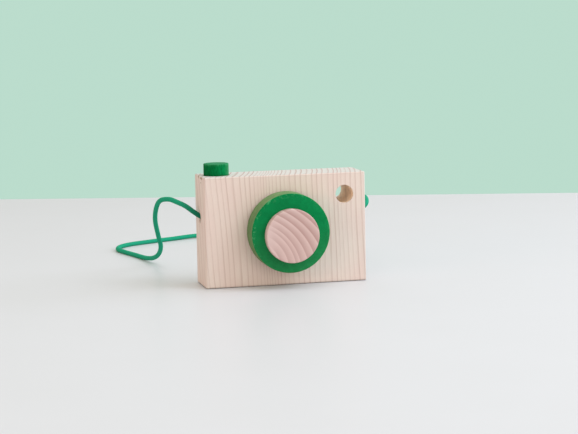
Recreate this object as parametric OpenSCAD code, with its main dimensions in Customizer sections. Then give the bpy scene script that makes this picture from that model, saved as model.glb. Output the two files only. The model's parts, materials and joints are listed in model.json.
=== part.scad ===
// Wooden pretend-play camera: a solid pine block with a turning lens ring,
// a sprung shutter button, a see-through viewfinder hole and an elastic neck cord.
// Frame: origin at the centre of the block's underside, +Z up, +X to the right of
// someone who looks at the lens, the lens faces -Y. Millimetres.

/* [Body] */
// Width of the pine block
body_w = 104; // [100:1:112]
// Thickness of the pine block, front to back
body_d = 31; // [30:0.5:36]
// Height of the pine block
body_h = 70; // [69:1:76]
// Rounding of the block's sanded edges
body_edge_r = 1; // [0.5:0.1:2]

/* [Viewfinder] */
// Diameter of the see-through hole
view_d = 11.5; // [10:0.5:13]
// Hole centre, to the right of the block's middle
view_x = 38.3; // [36:0.1:40]
// Hole centre above the underside
view_z = 56.1; // [55:0.1:58]

/* [Lens] */
// Diameter of the green ring that turns
ring_d = 50; // [44:1:54]
// Thickness of the green ring
ring_t = 14.8; // [12:0.2:18]
// Diameter of the natural wood cap in front of the ring
core_d = 33.6; // [28:0.2:36]
// Thickness of the natural wood cap
core_t = 6; // [5.5:0.5:8]
// How far the cap was glued below the axle's centre
core_drop = 1.2; // [0:0.1:1.5]
// Lens axis, to the right of the block's middle
lens_x = -0.6; // [-2:0.1:2]
// Lens axis above the underside
lens_z = 34.8; // [33:0.1:35]
// Diameter of the dowel that the ring turns on
axle_d = 10; // [8:1:10]
// Depth of the dowel in the block
axle_seat = 20; // [14:1:24]

/* [Shutter button] */
// Diameter of the green button dowel
button_d = 16; // [12:1:16]
// Height of the button above the block
button_proud = 7.5; // [5:0.5:9]
// How far the button goes down when it is pressed
button_travel = 3; // [1:0.5:3]
// Button axis, to the left of the block's middle
button_x = -41; // [-42:0.5:-39]

/* [Neck cord] */
// Thickness of the elastic cord
cord_d = 3; // [2.5:0.1:3]
// Diameter of the blind hole in each side of the block
cord_hole_d = 5.5; // [5:0.1:5.5]
// Depth of each blind hole
cord_hole_depth = 22; // [20:1:26]

/* [Hidden] */
$fn = 96;

run_gap = 0.08;                      // radial clearance of a turning or sliding fit
end_gap = 0.1;                       // clearance at the end faces of the ring
rim_ease = 0.5;                      // chamfer on the mouth of the button's bore
view_front_ease = 0.2;               // chamfer on the front rim of the viewfinder
view_back_ease = 1;                  // chamfer on its back rim, which an eye comes close to
turned_ease = 0.6;                   // rounding on the edges of turned wood
sawn_ease = 0.3;                     // rounding on edges that were only sawn
cut = 0.01;                          // overshoot of a cut past a face

// Lens, measured forwards from the block's front face
washer_t = 1;
washer_d = 20;
washer_hole_d = axle_d + 0.4;
ring_back = washer_t + end_gap;
core_back = ring_back + ring_t + end_gap;
core_pocket = 3;                     // depth of the axle's pocket in the cap

// Shutter button, heights above the underside
button_hidden = 15;                  // length of the button inside the block
bore_depth = 22;                     // depth of the button's bore
button_top = body_h + button_proud;
button_bottom = body_h - button_hidden;
shutter_floor = body_h - bore_depth;
spring_d = 10;
spring_wire = 0.8;
spring_turns = 5;
spring_dead = 0.5;                   // flat turn at each end of the spring
spring_steps = 20;                   // rings of the coil in each turn
recess_depth = 4;                    // the spring sits in a recess under the button
recess_d = spring_d + 1;
spring_top = button_bottom + recess_depth;
pin_d = 3;
pin_drop = 6;                        // axis of the cross pin below the block's top
pin_z = body_h - pin_drop;
pin_front = 4;                       // wood left in front of the pin's blind hole
slot_play = 0.3;                     // extra width of the slot around the pin

// Neck cord
cord_y = 1.5;                        // both holes lie this far behind the block's middle
cord_z = 43;                         // height of the holes above the underside
ferrule_l = 8;
ferrule_floor = 1;                   // thickness of the ferrule's closed end
cord_rim_ease = 1;                   // chamfer that the cord bends over
cord_start = body_w / 2 - cord_hole_depth + ferrule_floor;
tube_sides = 8;
route_steps = 2;                     // rings of the tube for each point of the route
route = [
    [-cord_start, cord_y, cord_z], [-42, cord_y, cord_z],
    [-50, 1.8, 43.6], [-55, 3.6, 46.6], [-59.5, 8, 50.1],
    [-64, 14, 52.3], [-68, 22, 53.5], [-72, 33, 51.5], [-73, 44, 45], [-72, 55, 36],
    [-68.5, 67, 25], [-65, 79, 15.5], [-64.5, 92, 8.5], [-66, 106, 4], [-69, 121, 2],
    [-73, 140, 1.5], [-78, 158, 1.5], [-81, 174, 1.5], [-78, 187, 1.5], [-69, 198, 1.5],
    [-54, 207, 1.5], [-36, 216, 1.5], [-14, 224, 2], [9, 224, 1.5], [30, 218, 1.5],
    [49, 208, 1.5], [64, 193, 1.5], [74, 174, 1.5], [79, 153, 2], [80, 131, 5],
    [77, 109, 12], [74, 90, 22.5], [70, 72, 34.5], [67, 55, 43.5], [65.7, 38, 47.7],
    [62.9, 21, 47.3], [58.4, 9, 45.4], [51, 2, 43.2],
    [42, cord_y, cord_z], [cord_start, cord_y, cord_z]
];

// Round stock along +Z with rounded edges
module turned(d, h, low, high) {
    rotate_extrude()
        difference() {
            square([d / 2, h]);
            rounding(d / 2, 0, low, 1);
            rounding(d / 2, h, high, -1);
        }
}

// What sanding takes off the corner at (x, y) of a profile that lies to its left, above it or below it
module rounding(x, y, r, up) {
    translate([x, y])
        mirror([0, 1 - up, 0])
            difference() {
                translate([-r, -cut])
                    square([r + cut, r + cut]);
                translate([-r, r])
                    circle(r = r);
            }
}

// Cut for a hole that starts at z = 0 and goes down, with an eased rim
module drilled(d, depth, ease) {
    translate([0, 0, -depth])
        cylinder(d = d, h = depth + cut);
    translate([0, 0, -ease])
        cylinder(d1 = d, d2 = d + 2 * (ease + cut), h = ease + cut);
}

// Rectangle with true round corners
module rounded_rectangle(w, h, r) {
    square([w - 2 * r, h], center = true);
    square([w, h - 2 * r], center = true);
    for (x = [-1, 1], y = [-1, 1])
        translate([x * (w / 2 - r), y * (h / 2 - r)])
            circle(r = r);
}

// Block with every edge rounded, standing on z = 0
module rounded_block(w, d, h, r) {
    translate([0, 0, h / 2])
        intersection() {
            linear_extrude(h, center = true)
                rounded_rectangle(w, d, r);
            rotate([90, 0, 0])
                linear_extrude(d, center = true)
                    rounded_rectangle(w, h, r);
            rotate([90, 0, 90])
                linear_extrude(w, center = true)
                    rounded_rectangle(d, h, r);
        }
}

// Places a part whose +Z points forwards, with z = 0 on the block's front face
module on_front(x, z) {
    translate([x, -body_d / 2, z])
        rotate([90, 0, 0])
            children();
}

// Round tube swept along a list of points that never runs vertically
function unit(v) = v / norm(v);
function heading(p, i) = unit(p[min(i + 1, len(p) - 1)] - p[max(i - 1, 0)]);
function sideways(t) = unit(cross(t, [0, 0, 1]));
function tube_ring(c, t, r, sides) = [
    for (k = [0:sides - 1])
        let (a = 360 * (k + 0.5) / sides, s = sideways(t))
            c + r * (cos(a) * s + sin(a) * cross(s, t))
];
function tube_wall(i, k, sides) =
    let (a = i * sides + k, b = i * sides + (k + 1) % sides)
        [[a, b, b + sides], [a, b + sides, a + sides]];
module tube(centres, r, sides) {
    n = len(centres);
    points = [for (i = [0:n - 1]) each tube_ring(centres[i], heading(centres, i), r, sides)];
    walls = [for (i = [0:n - 2], k = [0:sides - 1]) each tube_wall(i, k, sides)];
    ends = [[for (k = [sides - 1:-1:0]) k], [for (k = [0:sides - 1]) (n - 1) * sides + k]];
    polyhedron(points, concat(walls, ends));
}

// Smooth curve through the route's points, which also passes half-way between them
function spline(a, b, c, d, t) =
    0.5 * (2 * b + (c - a) * t + (2 * a - 5 * b + 4 * c - d) * t * t
        + (3 * b - a - 3 * c + d) * t * t * t);
function on_table(p) = [p[0], p[1], max(p[2], cord_d / 2)];
function smooth(p, steps) = [
    for (i = [0:len(p) - 2], s = [0:steps - 1])
        on_table(spline(p[max(i - 1, 0)], p[i], p[i + 1], p[min(i + 2, len(p) - 1)], s / steps)),
    p[len(p) - 1]
];

// Centre line of a compression spring with flat end turns
function coil_rise(turn) = min(max(turn - spring_dead, 0), spring_turns - 2 * spring_dead)
    / (spring_turns - 2 * spring_dead);
function coil(steps) = [
    for (i = [0:spring_turns * steps])
        let (a = 360 * i / steps, r = (spring_d - spring_wire) / 2)
            [r * cos(a), r * sin(a), coil_rise(i / steps) * (spring_top - shutter_floor - spring_wire)]
];

module body_block() {
    color("#e4cfba")
        difference() {
            rounded_block(body_w, body_d, body_h, body_edge_r);
            // see-through viewfinder, with an eased rim on both faces
            on_front(view_x, view_z) {
                drilled(view_d, body_d + cut, view_front_ease);
                translate([0, 0, -body_d])
                    mirror([0, 0, 1])
                        drilled(view_d, view_back_ease, view_back_ease);
            }
            // seat of the lens axle
            on_front(lens_x, lens_z)
                drilled(axle_d, axle_seat, 0);
            // bore of the shutter button
            translate([button_x, 0, body_h])
                drilled(button_d + 2 * run_gap, body_h - shutter_floor, rim_ease);
            // blind hole of the pin that keeps the button in, from the back
            translate([button_x, pin_front - body_d / 2, pin_z])
                rotate([-90, 0, 0])
                    cylinder(d = pin_d, h = body_d);
            // blind hole of the cord in each side
            for (side = [-1, 1])
                translate([side * body_w / 2, cord_y, cord_z])
                    rotate([0, side * 90, 0])
                        drilled(cord_hole_d, cord_hole_depth, cord_rim_ease);
        }
}

module lens_axle() {
    color("#d9bd97")
        on_front(lens_x, lens_z)
            translate([0, 0, -axle_seat])
                turned(axle_d, axle_seat + core_back + core_pocket, sawn_ease, sawn_ease);
}

module lens_washer() {
    color("#f2f2ee")
        on_front(lens_x, lens_z)
            difference() {
                cylinder(d = washer_d, h = washer_t);
                translate([0, 0, -cut])
                    cylinder(d = washer_hole_d, h = washer_t + 2 * cut);
            }
}

module lens_ring() {
    color("#0b8744")
        on_front(lens_x, lens_z)
            translate([0, 0, ring_back])
                difference() {
                    turned(ring_d, ring_t, turned_ease, turned_ease);
                    translate([0, 0, -cut])
                        cylinder(d = axle_d + 2 * run_gap, h = ring_t + 2 * cut);
                }
}

module lens_core() {
    color("#dcc0b2")
        on_front(lens_x, lens_z)
            translate([0, 0, core_back])
                difference() {
                    translate([0, -core_drop, 0])
                        turned(core_d, core_t, sawn_ease, turned_ease);
                    translate([0, 0, -cut])
                        cylinder(d = axle_d, h = core_pocket + cut);
                }
}

module shutter_button() {
    color("#0a6e38")
        translate([button_x, 0, 0])
            difference() {
                translate([0, 0, button_bottom])
                    turned(button_d, button_top - button_bottom, sawn_ease, turned_ease);
                // recess that centres the spring
                translate([0, 0, button_bottom - cut])
                    cylinder(d = recess_d, h = recess_depth + cut);
                // slot that slides over the pin
                for (z = [pin_z, pin_z + button_travel])
                    translate([0, 0, z])
                        rotate([90, 0, 0])
                            cylinder(d = pin_d + slot_play, h = body_d, center = true);
                translate([0, 0, pin_z + button_travel / 2])
                    cube([pin_d + slot_play, body_d, button_travel], center = true);
            }
}

module shutter_spring() {
    color("#b8bcc0")
        translate([button_x, 0, shutter_floor + spring_wire / 2])
            tube(coil(spring_steps), spring_wire / 2, tube_sides);
}

module shutter_pin() {
    color("#c9a87c")
        translate([button_x, pin_front - body_d / 2, pin_z])
            rotate([-90, 0, 0])
                turned(pin_d, body_d - pin_front, sawn_ease, sawn_ease);
}

// Crimped tube on one end of the cord, pushed to the bottom of its hole
module cord_ferrule(side) {
    color("#c8a552")
        translate([side * (body_w / 2 - cord_hole_depth), cord_y, cord_z])
            rotate([0, side * 90, 0])
                difference() {
                    turned(cord_hole_d, ferrule_l, sawn_ease, sawn_ease);
                    translate([0, 0, ferrule_floor])
                        cylinder(d = cord_d, h = ferrule_l);
                }
}

module cord_ferrule_left() {
    cord_ferrule(-1);
}

module cord_ferrule_right() {
    cord_ferrule(1);
}

module neck_cord() {
    color("#1f9d69")
        tube(smooth(route, route_steps), cord_d / 2, tube_sides);
}

body_block();
lens_axle();
lens_washer();
lens_ring();
lens_core();
shutter_button();
shutter_spring();
shutter_pin();
cord_ferrule_left();
cord_ferrule_right();
neck_cord();
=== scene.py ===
"""Wooden toy camera: meshes, materials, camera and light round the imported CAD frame.

Metres, +Z up, +X to the right of someone who looks at the lens, which faces -Y.
"""

import json
from math import cos, hypot, pi, radians, sin

import bmesh
import bpy
import numpy as np
from mathutils import Matrix, Vector, noise


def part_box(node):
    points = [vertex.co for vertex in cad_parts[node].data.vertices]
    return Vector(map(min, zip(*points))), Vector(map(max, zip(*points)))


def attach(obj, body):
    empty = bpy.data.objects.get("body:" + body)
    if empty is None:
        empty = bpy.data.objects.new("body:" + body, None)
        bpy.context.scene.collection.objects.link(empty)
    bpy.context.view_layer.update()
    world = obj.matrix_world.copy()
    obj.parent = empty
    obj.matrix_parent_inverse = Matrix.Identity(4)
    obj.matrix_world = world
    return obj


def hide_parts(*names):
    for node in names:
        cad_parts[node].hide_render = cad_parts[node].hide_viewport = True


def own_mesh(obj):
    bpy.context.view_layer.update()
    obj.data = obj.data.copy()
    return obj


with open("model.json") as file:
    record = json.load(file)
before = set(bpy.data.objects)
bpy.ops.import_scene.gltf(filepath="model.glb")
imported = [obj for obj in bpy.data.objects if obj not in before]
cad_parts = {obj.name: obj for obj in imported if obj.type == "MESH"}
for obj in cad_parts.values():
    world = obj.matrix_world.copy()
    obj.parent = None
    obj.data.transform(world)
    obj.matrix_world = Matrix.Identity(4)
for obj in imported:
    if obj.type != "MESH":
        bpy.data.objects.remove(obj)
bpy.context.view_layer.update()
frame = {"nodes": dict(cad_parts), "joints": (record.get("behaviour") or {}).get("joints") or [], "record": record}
nodes = frame["nodes"]
record = frame["record"]

# ---------------------------------------------------------------- places, from the frame

MM = 0.001
TURN = 2 * pi


def middle(node):
    """Centre of a CAD node's box."""
    low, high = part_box(node)
    return (low + high) / 2


def extent(node):
    """Size of a CAD node's box along x, y and z."""
    low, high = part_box(node)
    return high - low


BLOCK = extent("body_block")
FRONT = -BLOCK.y / 2
RING_R = extent("lens_ring").z / 2
RING_AT = middle("lens_ring")
AXLE_R = extent("lens_axle").z / 2
AXLE_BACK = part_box("lens_axle")[1].y
CORE_R = extent("lens_core").z / 2
CORE_AT = middle("lens_core")
BUTTON_R = extent("shutter_button").x / 2
BUTTON_AT = middle("shutter_button")
BUTTON_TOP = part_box("shutter_button")[1].z
PIN_R = extent("shutter_pin").x / 2
PIN_AT = middle("shutter_pin")
SPRING_R = extent("shutter_spring").x / 2
SPRING_AT = middle("shutter_spring")
CORD_HOLE_R = extent("cord_ferrule_left").y / 2
CORD_HOLE_AT = middle("cord_ferrule_left")
CORD_HOLE_DEPTH = BLOCK.x / 2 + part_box("cord_ferrule_left")[0].x
VIEW = next(m for m in record["mounts"] if m["name"] == "viewfinder_hole")
VIEW_AT = Vector(VIEW["pos_m"])
VIEW_R = VIEW["dims"]["r_mm"] * MM
PRESS = next(j for j in frame["joints"] if j["name"] == "shutter_press")
TRAVEL = PRESS["range_m"][1]

# Fits and eased edges, as on the CAD parts
RUN_GAP = 0.08 * MM
SLOT_PLAY = 0.15 * MM
RECESS_GAP = 0.5 * MM            # between the spring and the recess in the button
EDGE_R = 1.0 * MM
TURNED_EDGE_R = 0.6 * MM
SAWN_EDGE_R = 0.3 * MM
RIM_EASE = 0.5 * MM
VIEW_FRONT_EASE = 0.2 * MM
VIEW_BACK_EASE = 1.0 * MM
CORD_RIM_EASE = 1.0 * MM

# Finer easing, which the CAD parts leave out
FINE_EASE = 0.1 * MM             # on the mouth of a hole that something fills
RECESS_EASE = 0.2 * MM           # on the rim of the recess in the button


# ---------------------------------------------------------------- camera and cord

CAMERA_YAW, CAMERA_PITCH, CAMERA_ROLL = radians(13.17), radians(7.02), radians(1.155)
CAMERA_AIM = Vector((0.0056, 0, 0.0411))
CAMERA_DISTANCE = 1.1488
CAMERA_LENS = 112.1              # focal length in millimetres


def aim_camera():
    """Camera a little left of the toy and above it, with a long lens."""
    data = bpy.data.cameras.new("camera")
    data.lens = CAMERA_LENS
    data.clip_start, data.clip_end = 0.05, 20
    camera = bpy.data.objects.new("camera", data)
    turn = Matrix.Rotation(-CAMERA_YAW, 4, "Z")
    turn = turn @ Matrix.Rotation(pi / 2 - CAMERA_PITCH, 4, "X") @ Matrix.Rotation(-CAMERA_ROLL, 4, "Z")
    back = turn.to_3x3() @ Vector((0, 0, 1))
    camera.matrix_world = Matrix.Translation(CAMERA_AIM + back * CAMERA_DISTANCE) @ turn
    bpy.context.scene.collection.objects.link(camera)
    bpy.context.scene.camera = camera


# Route of the cord in millimetres, as the CAD has it
CORD_ROUTE = [
    (-31, 1.5, 43), (-42, 1.5, 43), (-50, 1.8, 43.6), (-55, 3.6, 46.6), (-59.5, 8, 50.1),
    (-64, 14, 52.3), (-68, 22, 53.5), (-72, 33, 51.5), (-73, 44, 45), (-72, 55, 36),
    (-68.5, 67, 25), (-65, 79, 15.5), (-64.5, 92, 8.5), (-66, 106, 4), (-69, 121, 2),
    (-73, 140, 1.5), (-78, 158, 1.5), (-81, 174, 1.5), (-78, 187, 1.5), (-69, 198, 1.5),
    (-54, 207, 1.5), (-36, 216, 1.5), (-14, 224, 2), (9, 224, 1.5), (30, 218, 1.5),
    (49, 208, 1.5), (64, 193, 1.5), (74, 174, 1.5), (79, 153, 2), (80, 131, 5),
    (77, 109, 12), (74, 90, 22.5), (70, 72, 34.5), (67, 55, 43.5), (65.7, 38, 47.7),
    (62.9, 21, 47.3), (58.4, 9, 45.4), (51, 2, 43.2), (42, 1.5, 43), (31, 1.5, 43),
]
CORD_D = 3 * MM
CORD_STEP = 0.34 * MM            # distance between rings of the braided tube
CORD_SIDES = 40
CORD_CURVE_STEPS = 24            # points of the curve for each point of the route
STRANDS = 8                      # strands that run each way round the braid
BRAID_PITCH = 9 * MM             # length over which a strand goes once round
BRAID_DEPTH = 0.2 * MM           # how deep the grooves between strands are
BRAID_LEVEL = 0.6                # height of the braid, from 0 to 1, that lies at the cord's radius
OVER_RISE = 0.45                 # how much higher a strand lies where it passes over another


def spline(points, steps):
    """Smooth curve through the points, kept clear of the table by half the cord's thickness."""
    p = np.array([points[0], *points, points[-1]], float) * MM
    t = (np.arange(steps) / steps)[:, None]
    curve = []
    for a, b, c, d in zip(p, p[1:], p[2:], p[3:]):
        second = (2 * a - 5 * b + 4 * c - d) * t**2
        third = (3 * b - a - 3 * c + d) * t**3
        curve.append(0.5 * (2 * b + (c - a) * t + second + third))
    curve = np.concatenate([*curve, p[-1:]])
    curve[:, 2] = np.maximum(curve[:, 2], CORD_D / 2)
    return curve


def even(curve, step):
    """The same curve with its points evenly spaced, and the distance along it."""
    along = np.concatenate([[0], np.cumsum(np.linalg.norm(np.diff(curve, axis=0), axis=1))])
    at = np.linspace(0, along[-1], int(along[-1] / step) + 1)
    return np.stack([np.interp(at, along, curve[:, k]) for k in range(3)], 1), at


def hump(strand):
    """Round outline across the strands: 1 at the middle of each and 0 between two."""
    return np.sqrt(np.clip(1 - (2 * (strand - np.round(strand))) ** 2, 0, 1))


def braid_height(angle, along):
    """Height of a round braid's surface, from 0 in the grooves to 1 on the strands."""
    turn = STRANDS * angle / TURN
    wind = STRANDS * along / BRAID_PITCH
    one, other = turn + wind, turn - wind
    upper = np.sign(np.cos(pi * np.round(one)) * np.cos(pi * np.round(other)))
    over = 0.5 + 0.5 * np.cos(pi * one) * np.cos(pi * other) * upper
    return np.maximum(hump(one) * (1 - OVER_RISE + OVER_RISE * over), hump(other) * (1 - OVER_RISE * over))


def sweep(centres, radii, name):
    """Tube through the centres with the given radius at each ring and side, closed at both ends."""
    ahead = np.gradient(centres, axis=0)
    ahead /= np.linalg.norm(ahead, axis=1)[:, None]
    side = np.cross(ahead[0], (0, 0, 1))
    side /= np.linalg.norm(side)
    sides = radii.shape[1]
    angle = TURN * np.arange(sides) / sides
    rings = []
    for centre, forward, radius in zip(centres, ahead, radii):
        side = side - forward * (side @ forward)
        side /= np.linalg.norm(side)
        up = np.cross(side, forward)
        spread = np.outer(np.cos(angle), side) + np.outer(np.sin(angle), up)
        rings.append(centre + spread * radius[:, None])
    verts = np.concatenate(rings)
    ring, k = np.meshgrid(np.arange(len(centres) - 1), np.arange(sides), indexing="ij")
    a, b = (ring * sides + k).ravel(), (ring * sides + (k + 1) % sides).ravel()
    faces = np.stack([a, b, b + sides, a + sides], 1).tolist()
    faces.append(list(range(sides))[::-1])
    faces.append(list(range(len(verts) - sides, len(verts))))
    return add_mesh(name, verts, faces)


def add_mesh(name, verts, faces, smooth=True):
    """New object with that mesh, its faces turned outwards."""
    mesh = bpy.data.meshes.new(name)
    mesh.from_pydata([tuple(v) for v in verts], [], faces)
    work = bmesh.new()
    work.from_mesh(mesh)
    bmesh.ops.recalc_face_normals(work, faces=work.faces)
    work.to_mesh(mesh)
    work.free()
    mesh.polygons.foreach_set("use_smooth", [smooth] * len(mesh.polygons))
    piece = bpy.data.objects.new(name, mesh)
    bpy.context.scene.collection.objects.link(piece)
    return piece


def make_cord():
    """Braided elastic cord, whole, from one hidden end in the block to the other."""
    centres, along = even(spline(CORD_ROUTE, CORD_CURVE_STEPS), CORD_STEP)
    angle = TURN * np.arange(CORD_SIDES) / CORD_SIDES
    height = braid_height(angle[None, :], along[:, None])
    radii = CORD_D / 2 + BRAID_DEPTH * (height - BRAID_LEVEL)
    cord = sweep(centres, radii, "braided_neck_cord")
    groove = cord.data.attributes.new("groove", "FLOAT", "POINT")
    groove.data.foreach_set("value", (1 - height).ravel().astype(np.float32))
    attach(cord, "camera_body")
    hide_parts("neck_cord")
    return cord


# ---------------------------------------------------------------- formulas for arrays and for node trees


class Value:
    """A number in a material's node tree. Arithmetic on it adds the nodes that work it out."""

    def __init__(self, tree, socket):
        self.tree, self.socket = tree, socket

    def then(self, operation, *others, clamp=False):
        """The value that a Math node makes of this one and the others."""
        made = self.tree.nodes.new("ShaderNodeMath")
        made.operation, made.use_clamp = operation, clamp
        for socket, value in zip(made.inputs, (self, *others)):
            plug(self.tree, socket, value)
        return Value(self.tree, made.outputs[0])

    def __add__(self, other):
        return self.then("ADD", other)

    def __sub__(self, other):
        return self.then("SUBTRACT", other)

    def __mul__(self, other):
        return self.then("MULTIPLY", other)

    def __truediv__(self, other):
        return self.then("DIVIDE", other)

    def __rsub__(self, other):
        return (self * -1) + other

    __radd__ = __add__
    __rmul__ = __mul__


def plug(tree, socket, value):
    """Links a computed value to an input, or sets a plain one."""
    if isinstance(value, Value):
        tree.links.new(value.socket, socket)
    else:
        socket.default_value = value


# What a Math node's operations are called for arrays
ARRAY_FORMS = {"SQRT": np.sqrt, "SINE": np.sin, "TANH": np.tanh, "FLOOR": np.floor, "ABSOLUTE": np.abs}


def form(operation, value):
    """That function of a node value or of an array."""
    if isinstance(value, Value):
        return value.then(operation)
    return ARRAY_FORMS[operation](value)


def clamped(value):
    """The value held between 0 and 1."""
    return value.then("ADD", 0, clamp=True) if isinstance(value, Value) else np.clip(value, 0, 1)


def step_up(low, high, value):
    """0 below low, 1 above high, and smooth between."""
    t = clamped((value - low) / (high - low))
    return t * t * (3 - 2 * t)


def squared(value):
    """The value times itself."""
    return value * value


# ---------------------------------------------------------------- growth rings, in millimetres

# Pine block: the heart of the tree lay far to the left of it and a little behind
PINE_HEART = (-230, 62)
PINE_YEAR = 3.1                  # usual thickness of a year's growth
# How far a ring leans sideways for each mm up: least at one place, and more on both sides of it
LEAN_LEAST, LEAN_GAIN = 0.018, 0.00095
LEAN_UPRIGHT_X, LEAN_SOFT = 24, 8
WANDER = 0.25                    # how far a ring strays from side to side on its way up
# Runs of thin years, or of thick ones where the last number is negative:
# place, half width, extra years per mm
PINE_THIN = ((-30, 2.5, -0.094), (-11, 5.7, 0.328), (19, 16, -0.031), (33.4, 2.4, 0.125))
# Years that are a little early or late: share of a year, length of the wave and its start
PINE_UNEVEN = ((0.07, 2.9, 0), (0.05, 1.73, 1))
BLOCK_MID_Z = BLOCK.z / 2 / MM
PINE_R = hypot(PINE_HEART[0], PINE_HEART[1] - FRONT / MM)


def pine_years(x, y, z):
    """Years of growth up to a point of the block, counted from the middle of its front."""
    lean = LEAN_LEAST + LEAN_GAIN * (form("SQRT", squared(x - LEAN_UPRIGHT_X) + LEAN_SOFT**2) - LEAN_SOFT)
    across = x + lean * (z - BLOCK_MID_Z) + WANDER * form("SINE", z / 13 + x / 9)
    out = form("SQRT", squared(across - PINE_HEART[0]) + squared(y - PINE_HEART[1])) - PINE_R
    years = count_years(out, PINE_YEAR, PINE_THIN)
    for share, length, start in PINE_UNEVEN:
        years = years + share * form("SINE", out / length + start)
    return years


def count_years(out, year, thin):
    """Years grown over a distance, with runs of thinner or thicker years on the way."""
    years = out / year
    for place, width, gain in thin:
        years = years + gain * width * form("TANH", (out - place) / width)
    return years


def late_wood(years):
    """Share of dark late wood: it builds up over the year and stops sharply."""
    t = years - form("FLOOR", years)
    return step_up(0.6, 0.9, t) * (1 - step_up(0.92, 1.0, t))


# Lens cap: end grain, with the heart of its branch low on the left of the cap
CAP_HEART = (-29, -25)
CAP_YEAR = 4.45
CAP_THIN = ((-6.7, 1.2, 0.19),)
CAP_R = 39.8                     # from the heart to just past the cap's centre
CAP_TAPER = 0.005                # years are thinner towards the upper left, by this share for each mm
CAP_WANDER = 0.15                # how far a ring of the cap strays


def cap_years(u, v):
    """Years of growth up to a point of the cap, from its centre."""
    out = form("SQRT", squared(u - CAP_HEART[0]) + squared(v - CAP_HEART[1])) - CAP_R
    out = out + CAP_TAPER * out * (v - u)
    return count_years(out + CAP_WANDER * form("SINE", u / 5 + v / 7), CAP_YEAR, CAP_THIN)


def cap_shade(years):
    """Dark at the start of a year, fading towards its end."""
    t = years - form("FLOOR", years)
    return step_up(0.0, 0.14, t) * (1 - t)


# ---------------------------------------------------------------- marks on the block, in millimetres

# Small chips under the top edge of the left face: middle along y and z, half width and half height
CHIP_DEPTH = 0.35
CHIPS = ((3.0, 69.1, 2.1, 1.1), (-6.0, 68.8, 3.4, 1.15), (-4.5, 66.0, 0.9, 0.4), (-12.0, 69.2, 0.8, 0.5))
# Depths between which the viewfinder hole's wall turns from the face's colour to its painted light
MOUTH_START, MOUTH_END = 0.2, 1.6
# Painted shade that tones down the highlight along the edges: width of the whole strip and of its darkest part
EDGE_SHADE_WIDTH, EDGE_SHADE_CORE = 2.0, 0.6


def in_viewfinder(x, y, z):
    """1 on the wall that the drill has cut, and 0 at the viewfinder hole's mouth and on the faces."""
    out = form("SQRT", squared(x - VIEW_AT.x / MM) + squared(z - VIEW_AT.z / MM))
    inside = 1 - step_up(VIEW_R / MM + 0.05, VIEW_R / MM + 0.2, out)
    return inside * step_up(MOUTH_START, MOUTH_END, y - FRONT / MM)


def near_edge(x, y, z):
    """1 along the edges of the block and 0 on its faces."""
    from_middle = ((BLOCK.x / 2, x), (BLOCK.y / 2, y), (BLOCK.z / 2, z - BLOCK_MID_Z))
    across, deep, high = [step_up(half / MM - EDGE_SHADE_WIDTH, half / MM - EDGE_SHADE_CORE, form("ABSOLUTE", value))
                          for half, value in from_middle]
    return clamped(across * deep + deep * high + high * across)


def chips(x, y, z):
    """How deep a point of the block lies in a chip, from 0 outside to 1 in the middle."""
    deep = 0
    ragged = 0.15 * form("SINE", 1.9 * y + 0.8 * z) + 0.1 * form("SINE", 4.3 * z - 1.2 * y)
    for cy, cz, half_y, half_z in CHIPS:
        along, up = (y - cy) / half_y, (z - cz) / half_z
        out = form("SQRT", squared(x + BLOCK.x / 2 / MM) + squared(along) + squared(up))
        deep = deep + (1 - step_up(0.55, 1, out + ragged))
    return clamped(deep)


# ---------------------------------------------------------------- colours

PINE_WARM, PINE_PALE, PINE_END_REFLECTING = (0.765, 0.64, 0.578), (0.77, 0.67, 0.60), (0.68, 0.662, 0.622)
PINE_LATE, PINE_HOLE_LIT, CHIP_BROWN = (0.50, 0.35, 0.30), (0.94, 0.77, 0.61), (0.24, 0.19, 0.08)
CAP_ROSE, CAP_TAN, CAP_LATE = (0.705, 0.54, 0.51), (0.69, 0.51, 0.475), (0.42, 0.25, 0.225)
RING_LOW, RING_HIGH, RING_RUBBED_LIT = (0.015, 0.202, 0.062), (0.003, 0.210, 0.061), (0.09, 0.38, 0.16)
RING_SIDE_THICK, RING_SIDE_THIN = (0.115, 0.22, 0.09), (0.15, 0.25, 0.115)
BUTTON_LEFT, BUTTON_RIGHT, BUTTON_FAR_RIGHT = (0.001, 0.140, 0.036), (0.002, 0.215, 0.060), (0.04, 0.25, 0.10)
BUTTON_RIM, BUTTON_END = (0.06, 0.33, 0.14), (0.038, 0.245, 0.11)
CORD_GREEN, CORD_GROOVE_SHADE = (0.016, 0.40, 0.222), (0.006, 0.13, 0.065)
CORD_SHADE_END = 18               # millimetres from the block at which the cord's painted shade ends
DOWEL_PALE, DOWEL_DARK = (0.62, 0.44, 0.27), (0.50, 0.33, 0.19)
NYLON_CLEAN, NYLON_SCUFFED = (0.85, 0.85, 0.82), (0.78, 0.78, 0.74)
STEEL, STEEL_DARK = (0.55, 0.56, 0.58), (0.45, 0.46, 0.48)
BRASS, BRASS_DARK = (0.78, 0.6, 0.3), (0.7, 0.52, 0.24)
TABLE_DARK, TABLE_PALE = (0.671, 0.685, 0.708), (0.686, 0.70, 0.728)
ROOM_LIGHT, BACKDROP_MINT = (1.0, 1.01, 0.92), (0.50, 0.72, 0.61)


# ---------------------------------------------------------------- node trees


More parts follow.
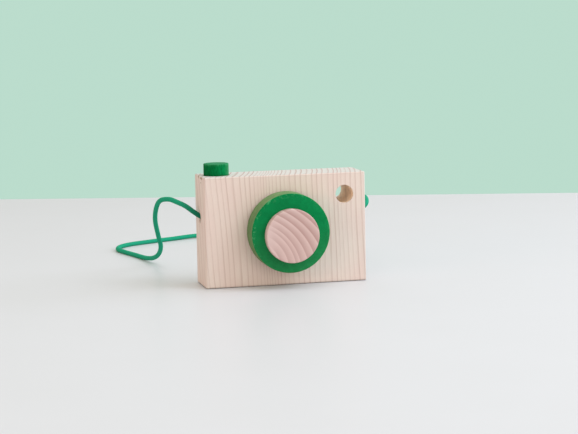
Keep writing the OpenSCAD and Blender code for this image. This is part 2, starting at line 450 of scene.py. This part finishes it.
class Shader:
    """One material: a Principled shader and the nodes that feed it."""

    def __init__(self, name, roughness, specular=0.3):
        self.material = bpy.data.materials.new(name)
        self.material.use_nodes = True
        self.tree = self.material.node_tree
        self.surface = self.tree.nodes["Principled BSDF"]
        self.surface.inputs["Roughness"].default_value = roughness
        self.surface.inputs["Specular IOR Level"].default_value = specular

    def xyz(self, kind, output):
        """The three values of a texture or geometry vector."""
        source = self.tree.nodes.new(kind)
        parts = self.tree.nodes.new("ShaderNodeSeparateXYZ")
        self.tree.links.new(source.outputs[output], parts.inputs[0])
        return [Value(self.tree, socket) for socket in parts.outputs]

    def place(self):
        """Object coordinates in millimetres."""
        return [value / MM for value in self.xyz("ShaderNodeTexCoord", "Object")]

    def facing(self):
        """How squarely the surface faces along x, y and z, from 0 to 1."""
        return [form("ABSOLUTE", value) for value in self.xyz("ShaderNodeNewGeometry", "Normal")]

    def noise(self, x, y, z, detail=2.0, rough=0.5):
        """Smooth random value from about 0.2 to 0.8 at a point."""
        join = self.tree.nodes.new("ShaderNodeCombineXYZ")
        for socket, value in zip(join.inputs, (x, y, z)):
            plug(self.tree, socket, value)
        made = self.tree.nodes.new("ShaderNodeTexNoise")
        made.inputs["Scale"].default_value = 1
        made.inputs["Detail"].default_value = detail
        made.inputs["Roughness"].default_value = rough
        self.tree.links.new(join.outputs[0], made.inputs["Vector"])
        return Value(self.tree, made.outputs["Fac"])

    def attribute(self, name):
        """A value that the mesh holds at its points."""
        made = self.tree.nodes.new("ShaderNodeAttribute")
        made.attribute_name = name
        return Value(self.tree, made.outputs["Fac"])

    def mix(self, share, one, other):
        """Colour between two, each a tuple or an earlier mix."""
        made = self.tree.nodes.new("ShaderNodeMix")
        made.data_type = "RGBA"
        plug(self.tree, made.inputs["Factor"], share)
        plug(self.tree, made.inputs[6], one if isinstance(one, Value) else (*one, 1))
        plug(self.tree, made.inputs[7], other if isinstance(other, Value) else (*other, 1))
        return Value(self.tree, made.outputs[2])

    def shade(self, colour, factor):
        """The colour made lighter or darker by a factor."""
        made = self.tree.nodes.new("ShaderNodeVectorMath")
        made.operation = "SCALE"
        plug(self.tree, made.inputs[0], colour)
        plug(self.tree, made.inputs["Scale"], factor)
        return Value(self.tree, made.outputs[0])

    def finish(self, colour, bump=None, height=0.05 * MM, strength=1.0):
        """The material, with its colour and with bumps as deep as the height."""
        plug(self.tree, self.surface.inputs["Base Color"], colour)
        if bump is not None:
            made = self.tree.nodes.new("ShaderNodeBump")
            made.inputs["Distance"].default_value = height
            made.inputs["Strength"].default_value = strength
            plug(self.tree, made.inputs["Height"], bump)
            self.tree.links.new(made.outputs[0], self.surface.inputs["Normal"])
        return self.material


def pine_material():
    """Sanded pine: fine upright grain, and on the end faces the cut ends of the same rings."""
    s = Shader("pine", 0.62, 0.25)
    x, y, z = s.place()
    _, _, upright = s.facing()
    years = pine_years(x, y, z)
    year = form("FLOOR", years)
    late = late_wood(years)
    strong = s.noise(year * 3.7, z / 60, 0.5, detail=1)
    fibre = s.noise(x * 2.6, y * 2.6, z / 9, detail=3, rough=0.6)
    cloud = s.noise(x / 14, y / 14, z / 30)
    end = step_up(0.6, 0.9, upright)
    early_wood = s.mix(step_up(0.35, 0.65, cloud), PINE_WARM, PINE_PALE)
    # End faces: their own end-grain tone with a painted reflection of the mint backdrop, which makes them less red
    early_wood = s.mix(end, early_wood, PINE_END_REFLECTING)
    share = late * (0.20 + 0.32 * step_up(0.3, 0.7, strong)) * (1 + 0.95 * end)
    colour = s.mix(share, early_wood, PINE_LATE)
    pores = s.noise(x * 5, y * 5, z / 4 + 3, detail=1)
    speck = s.noise(x * 4, y * 4, z * 4, detail=2, rough=0.7)
    colour = s.shade(colour, 1.06 - 0.12 * fibre)
    colour = s.shade(colour, 1 - 0.25 * end * step_up(0.5, 0.7, speck) - 0.06 * step_up(0.62, 0.72, pores))
    # Painted shade: the edges a little darker, which tones down their highlight
    colour = s.shade(colour, 1 - 0.07 * near_edge(x, y, z))
    # Painted light: the viewfinder hole's wall paler and warmer than the pine, for light that reaches inside the
    # hole
    hole_lit = s.shade(PINE_HOLE_LIT, 1.1 - 0.14 * late - 0.16 * fibre)
    colour = s.mix(in_viewfinder(x, y, z), colour, hole_lit)
    colour = s.mix(chips(x, y, z), colour, CHIP_BROWN)
    # Painted contact shadow: the block darker over its bottom millimetre
    colour = s.shade(colour, 0.65 + 0.35 * step_up(0, 1.1, z))
    bump = fibre + 0.8 * late + end * speck
    return s.finish(colour, bump, 0.04 * MM, 0.6)


def cap_material():
    """Sawn end grain: each year starts dark and fades outwards, least clear on the left."""
    s = Shader("end_grain_wood", 0.6, 0.25)
    x, y, z = s.place()
    u, v = x - CORE_AT.x / MM, z - CORE_AT.z / MM
    shade = cap_shade(cap_years(u, v))
    speck = s.noise(x * 3.2, y * 3.2, z * 3.2, detail=3, rough=0.65)
    cloud = s.noise(x / 7, y / 7, z / 7)
    clear = step_up(-18, -8, u) * (0.60 + 0.30 * step_up(-14, 14, u + v))
    light = s.mix(step_up(-16, 6, u - 0.5 * v), CAP_ROSE, CAP_TAN)
    colour = s.mix(shade * clear, light, CAP_LATE)
    colour = s.shade(colour, 1.08 - 0.16 * speck - 0.08 * cloud)
    return s.finish(colour, speck, 0.03 * MM, 0.5)


def ring_material():
    """Matt green stain, mottled on the front with painted shade and light across it, thin on the side, and lighter
    along the front edge, partly rubbed and partly a painted highlight.
    """
    s = Shader("green_ring", 0.7, 0.05)
    x, y, z = s.place()
    _, front, _ = s.facing()
    u, v = x - RING_AT.x / MM, z - RING_AT.z / MM
    out = form("SQRT", squared(u) + squared(v))
    speck = s.noise(x * 2.4, y * 2.4, z * 2.4, detail=3, rough=0.7)
    cloud = s.noise(x / 4, y / 4, z / 4, detail=3)
    streak = s.noise(u / 3, y * 1.6, v / 3, detail=2)
    edge = step_up(RING_R / MM - 3.5, RING_R / MM - 0.3, out)
    # Lighter along the rim, most towards the upper left: partly rubbed stain, partly a painted highlight
    rubbed_and_lit = edge * step_up(0.54, 0.64, s.noise(x / 1.4, y, z / 1.4 + 8, detail=3, rough=0.65))
    # Painted shade and light: the front darker towards the bottom and the left, where the core's shadow falls, and
    # lighter towards the right
    lit_stain = s.mix(step_up(-22, 12, v), RING_LOW, RING_HIGH)
    lit_stain = s.shade(lit_stain, 0.96 + 0.12 * step_up(-20, 25, u))
    green = s.mix(rubbed_and_lit * (0.2 + 0.5 * step_up(0, 30, v - u)), lit_stain, RING_RUBBED_LIT)
    side = s.mix(streak, RING_SIDE_THIN, RING_SIDE_THICK)
    # Painted light: the side lighter towards the top, where light from above falls
    side = s.shade(side, 1 + 0.22 * step_up(8, 24, v))
    colour = s.mix(step_up(0.35, 0.8, front), side, green)
    colour = s.shade(colour, 0.4 + 0.75 * speck + 0.5 * cloud)
    return s.finish(colour, speck, 0.06 * MM, 0.8)


def button_material():
    """Matt green stain in upright streaks round the side, with painted light on the right and painted shade at the
    foot, and thinner on the top.
    """
    s = Shader("green_button", 0.7, 0.03)
    x, y, z = s.place()
    _, _, upright = s.facing()
    streak = s.noise(x * 1.6, y * 1.6, z / 3, detail=3, rough=0.65)
    speck = s.noise(x * 3, y * 3, z * 3, detail=3, rough=0.7)
    rim = step_up(BUTTON_TOP / MM - 1.6, BUTTON_TOP / MM - 0.1, z) * step_up(0.4, 0.62, streak)
    # Painted light: the side lighter towards the right, where the light comes from, with a painted highlight at
    # the far right
    thin = step_up(-8, 8, x - BUTTON_AT.x / MM)
    lit_stain = s.mix(thin, BUTTON_LEFT, BUTTON_RIGHT)
    lit_stain = s.mix(step_up(3.5, 8, x - BUTTON_AT.x / MM), lit_stain, BUTTON_FAR_RIGHT)
    side = s.shade(s.mix(0.6 * rim, lit_stain, BUTTON_RIM), 0.1 + 1.8 * streak)
    # Painted shade: the side darker over the 1.5 mm above the block, where the gap to the bore shades it
    side = s.shade(side, 0.7 + 0.3 * step_up(0, 1.5, z - BLOCK.z / MM))
    colour = s.mix(step_up(0.5, 0.9, upright), side, BUTTON_END)
    colour = s.shade(colour, 0.8 + 0.4 * speck)
    return s.finish(colour, speck + streak, 0.06 * MM, 0.8)


def cord_material():
    """Braided cord, with painted shade in its grooves and where it goes into the block."""
    s = Shader("green_cord", 0.85, 0.12)
    x, y, z = s.place()
    groove = s.attribute("groove")
    fuzz = s.noise(x * 5, y * 5, z * 5, detail=3, rough=0.7)
    # Painted shade in the braid's grooves
    colour = s.mix(groove, CORD_GREEN, CORD_GROOVE_SHADE)
    from_hole = form("SQRT", squared(form("ABSOLUTE", x) - BLOCK.x / 2 / MM) + squared(y))
    # Painted shade: the cord darker where it goes into the block
    colour = s.shade(colour, 0.45 + 0.55 * step_up(0, CORD_SHADE_END, from_hole))
    colour = s.shade(colour, 0.85 + 0.3 * fuzz)
    return s.finish(colour, fuzz, 0.04 * MM, 0.6)


def dowel_material():
    """Bare dowel wood with small flecks."""
    s = Shader("dowel_wood", 0.6, 0.25)
    x, y, z = s.place()
    fleck = s.noise(x * 2, y * 2, z * 2, detail=3, rough=0.7)
    colour = s.mix(step_up(0.35, 0.65, fleck), DOWEL_PALE, DOWEL_DARK)
    return s.finish(colour, fleck, 0.03 * MM, 0.5)


def washer_material():
    """Pale plastic, slightly scuffed."""
    s = Shader("nylon", 0.45, 0.4)
    x, y, z = s.place()
    scuff = s.noise(x, y, z, detail=3)
    return s.finish(s.mix(scuff, NYLON_CLEAN, NYLON_SCUFFED), scuff, 0.02 * MM, 0.4)


def metal_material(name, colour, tint, roughness):
    """Drawn metal whose colour varies a little between the two."""
    s = Shader(name, roughness, 0.5)
    s.surface.inputs["Metallic"].default_value = 1
    x, y, z = s.place()
    drawn = s.noise(x * 6, y * 6, z * 6, detail=3)
    return s.finish(s.mix(drawn, colour, tint), drawn, 0.01 * MM, 0.4)


def dress(piece, material):
    """The material in every slot of a piece."""
    if not piece.data.materials:
        piece.data.materials.append(material)
    for slot in piece.material_slots:
        slot.material = material


# ---------------------------------------------------------------- meshes

EDGE_STEPS = 5                   # flats round a rounded edge
SHARP_ANGLE = radians(38)        # smooth shading stops at edges sharper than this
TINY_R = 0.01 * MM               # rounding of edges that stay sharp to the eye
DRILL_SIDES = 128
DRILL_OVER = 1 * MM              # how far a drill stands out of its hole
RIM_TURN = radians(80)           # how far round a hole's rim is eased
EARLY_SUNK = 0.05                # millimetres by which soft early wood lies below hard late wood
CAP_SUNK = 0.02                  # millimetres by which the cap's dark wood lies below its light wood


def graded(length, edge, step):
    """Lines across a face from one edge to the other, closer together where the edge is rounded."""
    half = length / 2
    flat = half - edge
    inner = np.linspace(-flat, flat, max(2, round(2 * flat / step) + 1))
    outer = flat + edge * np.tan(np.linspace(0, pi / 4, EDGE_STEPS + 1))[1:]
    return np.concatenate([-outer[::-1], inner, outer])


def rounded_box(name, size, edge, step):
    """Closed box of even small faces with true round edges, centred on the origin."""
    lines = [graded(length, edge, step) for length in size]
    index, verts, faces = {}, [], []

    def vertex(key):
        if key not in index:
            index[key] = len(verts)
            verts.append([lines[k][key[k]] for k in range(3)])
        return index[key]

    for axis in range(3):
        u, v = (axis + 1) % 3, (axis + 2) % 3
        for end in (0, len(lines[axis]) - 1):
            for i in range(len(lines[u]) - 1):
                for j in range(len(lines[v]) - 1):
                    corners = []
                    for a, b in ((i, j), (i + 1, j), (i + 1, j + 1), (i, j + 1)):
                        key = [0, 0, 0]
                        key[axis], key[u], key[v] = end, a, b
                        corners.append(vertex(tuple(key)))
                    faces.append(corners)
    points = np.array(verts)
    inner = np.clip(points, -np.array(size) / 2 + edge, np.array(size) / 2 - edge)
    out = points - inner
    points = inner + edge * out / np.linalg.norm(out, axis=1)[:, None]
    return add_mesh(name, points, faces)


def dense(profile, step):
    """The profile with no gap between its points longer than step."""
    points = [profile[0]]
    for (r, h), (next_r, next_h) in zip(profile, profile[1:]):
        count = max(1, round(hypot(next_r - r, next_h - h) / step))
        for k in range(1, count + 1):
            points.append((r + (next_r - r) * k / count, h + (next_h - h) * k / count))
    return points


def quarter(r, h, radius, start):
    """Points of a quarter round about (r, h) from the start angle in degrees, anticlockwise."""
    angles = [radians(start + 90 * k / EDGE_STEPS) for k in range(EDGE_STEPS + 1)]
    return [(r + radius * cos(a), h + radius * sin(a)) for a in angles]


def disc_profile(radius, height, low_ease, high_ease):
    """Half outline of a round plate with rounded edges, from the axis below to the axis above."""
    return [(0, 0), *quarter(radius - low_ease, low_ease, low_ease, -90),
            *quarter(radius - high_ease, height - high_ease, high_ease, 0), (0, height)]


def turned(name, profile, sides, placing):
    """Solid turned about the local Z axis. A profile that starts and ends off the axis makes a ring."""
    on_axis = profile[0][0] == 0
    body = profile[1:-1] if on_axis else profile
    angle = TURN * np.arange(sides) / sides
    verts = [(r * cos(a), r * sin(a), h) for r, h in body for a in angle]
    rows = len(body)
    faces = []
    for row in range(rows - 1 if on_axis else rows):
        below, above = row * sides, (row + 1) % rows * sides
        for k in range(sides):
            after = (k + 1) % sides
            faces.append((below + k, below + after, above + after, above + k))
    if on_axis:
        for height, row in ((profile[0][1], 0), (profile[-1][1], (rows - 1) * sides)):
            verts.append((0, 0, height))
            faces += [(len(verts) - 1, row + k, row + (k + 1) % sides) for k in range(sides)]
    piece = add_mesh(name, verts, faces)
    piece.data.transform(placing)
    return piece


def standing(x, y, z):
    """Placing whose local +Z points up."""
    return Matrix.Translation((x, y, z))


def facing_front(x, y, z):
    """Placing whose local +Z points out of the front of the block."""
    return Matrix.Translation((x, y, z)) @ Matrix.Rotation(pi / 2, 4, "X")


def facing_back(x, y, z):
    """Placing whose local +Z points out of the back of the block."""
    return Matrix.Translation((x, y, z)) @ Matrix.Rotation(-pi / 2, 4, "X")


def points_of(piece):
    """Positions of the mesh's points, one row each."""
    co = np.zeros(len(piece.data.vertices) * 3)
    piece.data.vertices.foreach_get("co", co)
    return co.reshape(-1, 3)


def normals_of(piece):
    """Normals at the mesh's points, one row each."""
    return np.array([v.normal for v in piece.data.vertices])


def sink(piece, depth):
    """Moves each point of the surface inwards by its depth."""
    piece.data.vertices.foreach_set("co", (points_of(piece) - normals_of(piece) * depth[:, None]).ravel())
    piece.data.update()


def rough(points, scale, seed=0.0):
    """Smooth noise from 0 to 1 at points in millimetres, with that many bumps per millimetre each way."""
    return np.array([0.5 + 0.5 * noise.noise(Vector(p) + Vector((seed, seed, seed))) for p in points * scale])


def cut(piece, *tools):
    """Cuts the tools out of the piece and removes them."""
    for tool in tools:
        modifier = piece.modifiers.new("cut", "BOOLEAN")
        modifier.operation, modifier.solver, modifier.object = "DIFFERENCE", "EXACT", tool
    mesh = bpy.data.meshes.new_from_object(piece.evaluated_get(bpy.context.evaluated_depsgraph_get()))
    piece.modifiers.clear()
    piece.data = mesh
    for tool in tools:
        bpy.data.objects.remove(tool)


def sharpen(piece):
    """Smooth shading, with the sharp edges kept."""
    piece.data.shade_smooth()
    piece.data.set_sharp_from_angle(angle=SHARP_ANGLE)


def drill(radius, depth, ease, placing):
    """Tool for a hole whose mouth is at local z = 0, with an eased rim."""
    rim = np.linspace(0, RIM_TURN, EDGE_STEPS + 1)[1:]
    profile = [(0, -depth), (radius, -depth), (radius, -ease)]
    profile += [(radius + ease - ease * cos(a), -ease + ease * sin(a)) for a in rim]
    profile += [(profile[-1][0], DRILL_OVER), (0, DRILL_OVER)]
    return turned("drill", profile, DRILL_SIDES, placing)


def make_block():
    """Sanded pine block, its growth rings standing a little proud of the softer wood between."""
    mesh_step = 0.56 * MM
    block = rounded_box("pine_block", tuple(BLOCK), EDGE_R, mesh_step)
    block.data.transform(standing(0, 0, BLOCK.z / 2))
    points = points_of(block) / MM
    late = late_wood(pine_years(*points.T))
    fibre = 0.03 * rough(points, (1.6, 1.6, 0.12)) + 0.02 * rough(points, (0.3, 0.3, 0.1), 9)
    sink(block, MM * (EARLY_SUNK * (1 - late) + fibre + CHIP_DEPTH * chips(*points.T)))
    bore_depth = BLOCK.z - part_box("shutter_spring")[0].z
    holes = [
        drill(VIEW_R, BLOCK.y + DRILL_OVER, VIEW_FRONT_EASE, facing_front(VIEW_AT.x, FRONT, VIEW_AT.z)),
        drill(VIEW_R, 2 * VIEW_BACK_EASE, VIEW_BACK_EASE, facing_back(VIEW_AT.x, -FRONT, VIEW_AT.z)),
        drill(AXLE_R, AXLE_BACK - FRONT, SAWN_EDGE_R, facing_front(RING_AT.x, FRONT, RING_AT.z)),
        drill(BUTTON_R + RUN_GAP, bore_depth, RIM_EASE, standing(BUTTON_AT.x, 0, BLOCK.z)),
        drill(PIN_R, extent("shutter_pin").y, FINE_EASE, facing_back(PIN_AT.x, -FRONT, PIN_AT.z)),
    ]
    for side in (-1, 1):
        mouth = standing(side * BLOCK.x / 2, CORD_HOLE_AT.y, CORD_HOLE_AT.z)
        outwards = mouth @ Matrix.Rotation(side * pi / 2, 4, "Y")
        holes.append(drill(CORD_HOLE_R, CORD_HOLE_DEPTH, CORD_RIM_EASE, outwards))
    cut(block, *holes)
    sharpen(block)
    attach(block, "camera_body")
    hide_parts("body_block")
    return block


def make_ring():
    """Green lens ring with a bore for its dowel."""
    mesh_step, sides = 0.5 * MM, 320
    height = extent("lens_ring").y
    bore = AXLE_R + RUN_GAP
    edge, flat_r = TURNED_EDGE_R, RING_R - TURNED_EDGE_R
    outline = [(bore, 0), *quarter(flat_r, edge, edge, -90), *quarter(flat_r, height - edge, edge, 0),
               (bore, height), (bore, 0)]
    placing = facing_front(RING_AT.x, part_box("lens_ring")[1].y, RING_AT.z)
    ring = turned("turned_lens_ring", dense(outline, mesh_step)[:-1], sides, placing)
    points = points_of(ring) / MM
    out = np.hypot(points[:, 0] - RING_AT.x / MM, points[:, 2] - RING_AT.z / MM)
    off_bore = out > bore / MM + 0.5
    sink(ring, MM * off_bore * (0.04 * rough(points, 1.4) + 0.03 * rough(points, 0.35, 5)))
    sharpen(ring)
    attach(ring, "focus_ring")
    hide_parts("lens_ring")
    return ring


def make_core():
    """Natural end-grain cap, the dark start of each year lying slightly lower."""
    mesh_step, sides = 0.45 * MM, 256
    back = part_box("lens_core")[1].y
    outline = disc_profile(CORE_R, extent("lens_core").y, SAWN_EDGE_R, TURNED_EDGE_R)
    core = turned("lens_cap", dense(outline, mesh_step), sides, facing_front(CORE_AT.x, back, CORE_AT.z))
    points = points_of(core) / MM
    shade = cap_shade(cap_years(points[:, 0] - CORE_AT.x / MM, points[:, 2] - CORE_AT.z / MM))
    sink(core, MM * (CAP_SUNK * shade + 0.02 * rough(points, 2.0)))
    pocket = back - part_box("lens_axle")[0].y
    cut(core, drill(AXLE_R, pocket, FINE_EASE, facing_back(RING_AT.x, back, RING_AT.z)))
    sharpen(core)
    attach(core, "camera_body")
    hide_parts("lens_core")
    return core


def make_button():
    """Green dowel button with a recess for its spring and a slot for its pin."""
    mesh_step, sides, slot_sides = 0.4 * MM, 160, 48
    low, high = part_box("shutter_button")
    foot = standing(BUTTON_AT.x, BUTTON_AT.y, low.z)
    outline = disc_profile(BUTTON_R, high.z - low.z, SAWN_EDGE_R, TURNED_EDGE_R)
    button = turned("dowel_button", dense(outline, mesh_step), sides, foot)
    points = points_of(button) / MM
    shown = points[:, 2] > (BLOCK.z + 0.5 * MM) / MM
    sink(button, MM * shown * (0.07 * rough(points, (2.2, 2.2, 0.25)) + 0.03 * rough(points, 2.5, 4)))
    slot_r = PIN_R + SLOT_PLAY
    reach = BUTTON_R + 1 * MM
    slot_outline = disc_profile(slot_r, 2 * reach, TINY_R, TINY_R)
    slot_ends = [turned("slot", slot_outline, slot_sides, facing_front(PIN_AT.x, reach, PIN_AT.z + rise))
                 for rise in (0, TRAVEL)]
    web = rounded_box("web", (2 * slot_r, 2 * reach, TRAVEL), TINY_R, 5 * MM)
    web.data.transform(standing(PIN_AT.x, 0, PIN_AT.z + TRAVEL / 2))
    recess_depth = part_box("shutter_spring")[1].z - low.z
    downwards = foot @ Matrix.Rotation(pi, 4, "X")
    recess = drill(SPRING_R + RECESS_GAP, recess_depth, RECESS_EASE, downwards)
    cut(button, *slot_ends, web, recess)
    sharpen(button)
    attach(button, "shutter")
    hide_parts("shutter_button")
    return button


def make_spring():
    """Compression spring with flat end turns."""
    low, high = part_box("shutter_spring")
    wire, wire_sides = 0.8 * MM, 14
    turns, dead, turn_steps = 5, 0.5, 48
    turn = np.linspace(0, turns, turns * turn_steps + 1)
    rise = np.clip((turn - dead) / (turns - 2 * dead), 0, 1) * (high.z - low.z - wire)
    r = SPRING_R - wire / 2
    centres = np.stack([SPRING_AT.x + r * np.cos(TURN * turn), SPRING_AT.y + r * np.sin(TURN * turn),
                        low.z + wire / 2 + rise], 1)
    spring = sweep(centres, np.full((len(centres), wire_sides), wire / 2), "button_spring")
    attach(spring, "camera_body")
    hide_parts("shutter_spring")
    length = high.z - low.z
    (length - TRAVEL) / length
    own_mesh(spring)
    return spring


# ---------------------------------------------------------------- stage


def make_table():
    """Pale table that ends a little way behind the toy."""
    edge, turn = 0.49, radians(-17.7)
    near, half_width = 3.0, 2.5
    corners = [(-half_width, edge, 0), (half_width, edge, 0), (half_width, -near, 0), (-half_width, -near, 0)]
    table = add_mesh("table", corners, [(0, 1, 2, 3)], smooth=False)
    table.data.transform(Matrix.Rotation(turn, 4, "Z"))
    if table.data.polygons[0].normal.z < 0:
        table.data.flip_normals()
    s = Shader("table_top", 0.38, 0.35)
    x, y, z = s.place()
    cloud = s.noise(x / 60, y / 60, z / 60)
    dress(table, s.finish(s.mix(cloud, TABLE_DARK, TABLE_PALE)))


def make_world():
    """Even soft light, with a plain mint backdrop behind the table."""
    world = bpy.data.worlds.new("studio")
    bpy.context.scene.world = world
    world.use_nodes = True
    tree = world.node_tree
    tree.nodes.clear()
    light, backdrop = tree.nodes.new("ShaderNodeBackground"), tree.nodes.new("ShaderNodeBackground")
    light.inputs["Color"].default_value = (*ROOM_LIGHT, 1)
    light.inputs["Strength"].default_value = 0.67
    backdrop.inputs["Color"].default_value = (*BACKDROP_MINT, 1)
    backdrop.inputs["Strength"].default_value = 1.0
    path = tree.nodes.new("ShaderNodeLightPath")
    mix = tree.nodes.new("ShaderNodeMixShader")
    output = tree.nodes.new("ShaderNodeOutputWorld")
    tree.links.new(path.outputs["Is Camera Ray"], mix.inputs[0])
    tree.links.new(light.outputs[0], mix.inputs[1])
    tree.links.new(backdrop.outputs[0], mix.inputs[2])
    tree.links.new(mix.outputs[0], output.inputs[0])


# Azimuth, 0 in front and 90 on the right, and elevation, both in degrees, distance, width,
# height, strength for each square metre, colour
LIGHTS = {
    "warm_fill": (-60, 10, 2.4, 1.35, 0.75, 10, (1.0, 0.32, 0.15)),
    "side_window": (90, 15, 2.2, 1.24, 1.24, 12.5, (0.78, 0.84, 1.0)),
    "upper_window": (60, 45, 1.6, 0.9, 0.9, 13.5, (0.85, 0.87, 1.0)),
    "front_fill": (20, 5, 1.6, 0.9, 0.9, 5.4, (1.0, 0.93, 0.86)),
    "ceiling": (0, 85, 1.6, 0.9, 0.9, 6.6, (1, 1, 1)),
}
TABLE_GLARE = 20                 # degrees; a lower light would show as a bright patch in the table


def area_light(name, azimuth, elevation, distance, width, height, strength, colour):
    """Soft light that faces the toy, shown by the gloss of surfaces only where it stands high."""
    a, e = radians(azimuth), radians(elevation)
    away = Vector((sin(a) * cos(e), -cos(a) * cos(e), sin(e)))
    data = bpy.data.lights.new(name, "AREA")
    data.shape, data.size, data.size_y = "RECTANGLE", width, height
    data.energy, data.color = strength * width * height, colour
    lamp = bpy.data.objects.new(name, data)
    lamp.location = Vector((0, 0, BLOCK.z / 2)) + away * distance
    lamp.visible_glossy = elevation > TABLE_GLARE
    lamp.rotation_mode = "QUATERNION"
    lamp.rotation_quaternion = away.to_track_quat("Z", "Y")
    bpy.context.scene.collection.objects.link(lamp)


# ---------------------------------------------------------------- the whole

bpy.context.scene.view_settings.view_transform = "Standard"
aim_camera()
dress(make_cord(), cord_material())
dress(make_block(), pine_material())
dress(make_ring(), ring_material())
dress(make_core(), cap_material())
dress(make_button(), button_material())
dress(make_spring(), metal_material("spring_steel", STEEL, STEEL_DARK, 0.3))
for node in ("lens_axle", "shutter_pin"):
    dress(nodes[node], dowel_material())
dress(nodes["lens_washer"], washer_material())
for node in ("cord_ferrule_left", "cord_ferrule_right"):
    dress(nodes[node], metal_material("brass", BRASS, BRASS_DARK, 0.35))

make_table()
make_world()
for name, settings in LIGHTS.items():
    area_light(name, *settings)
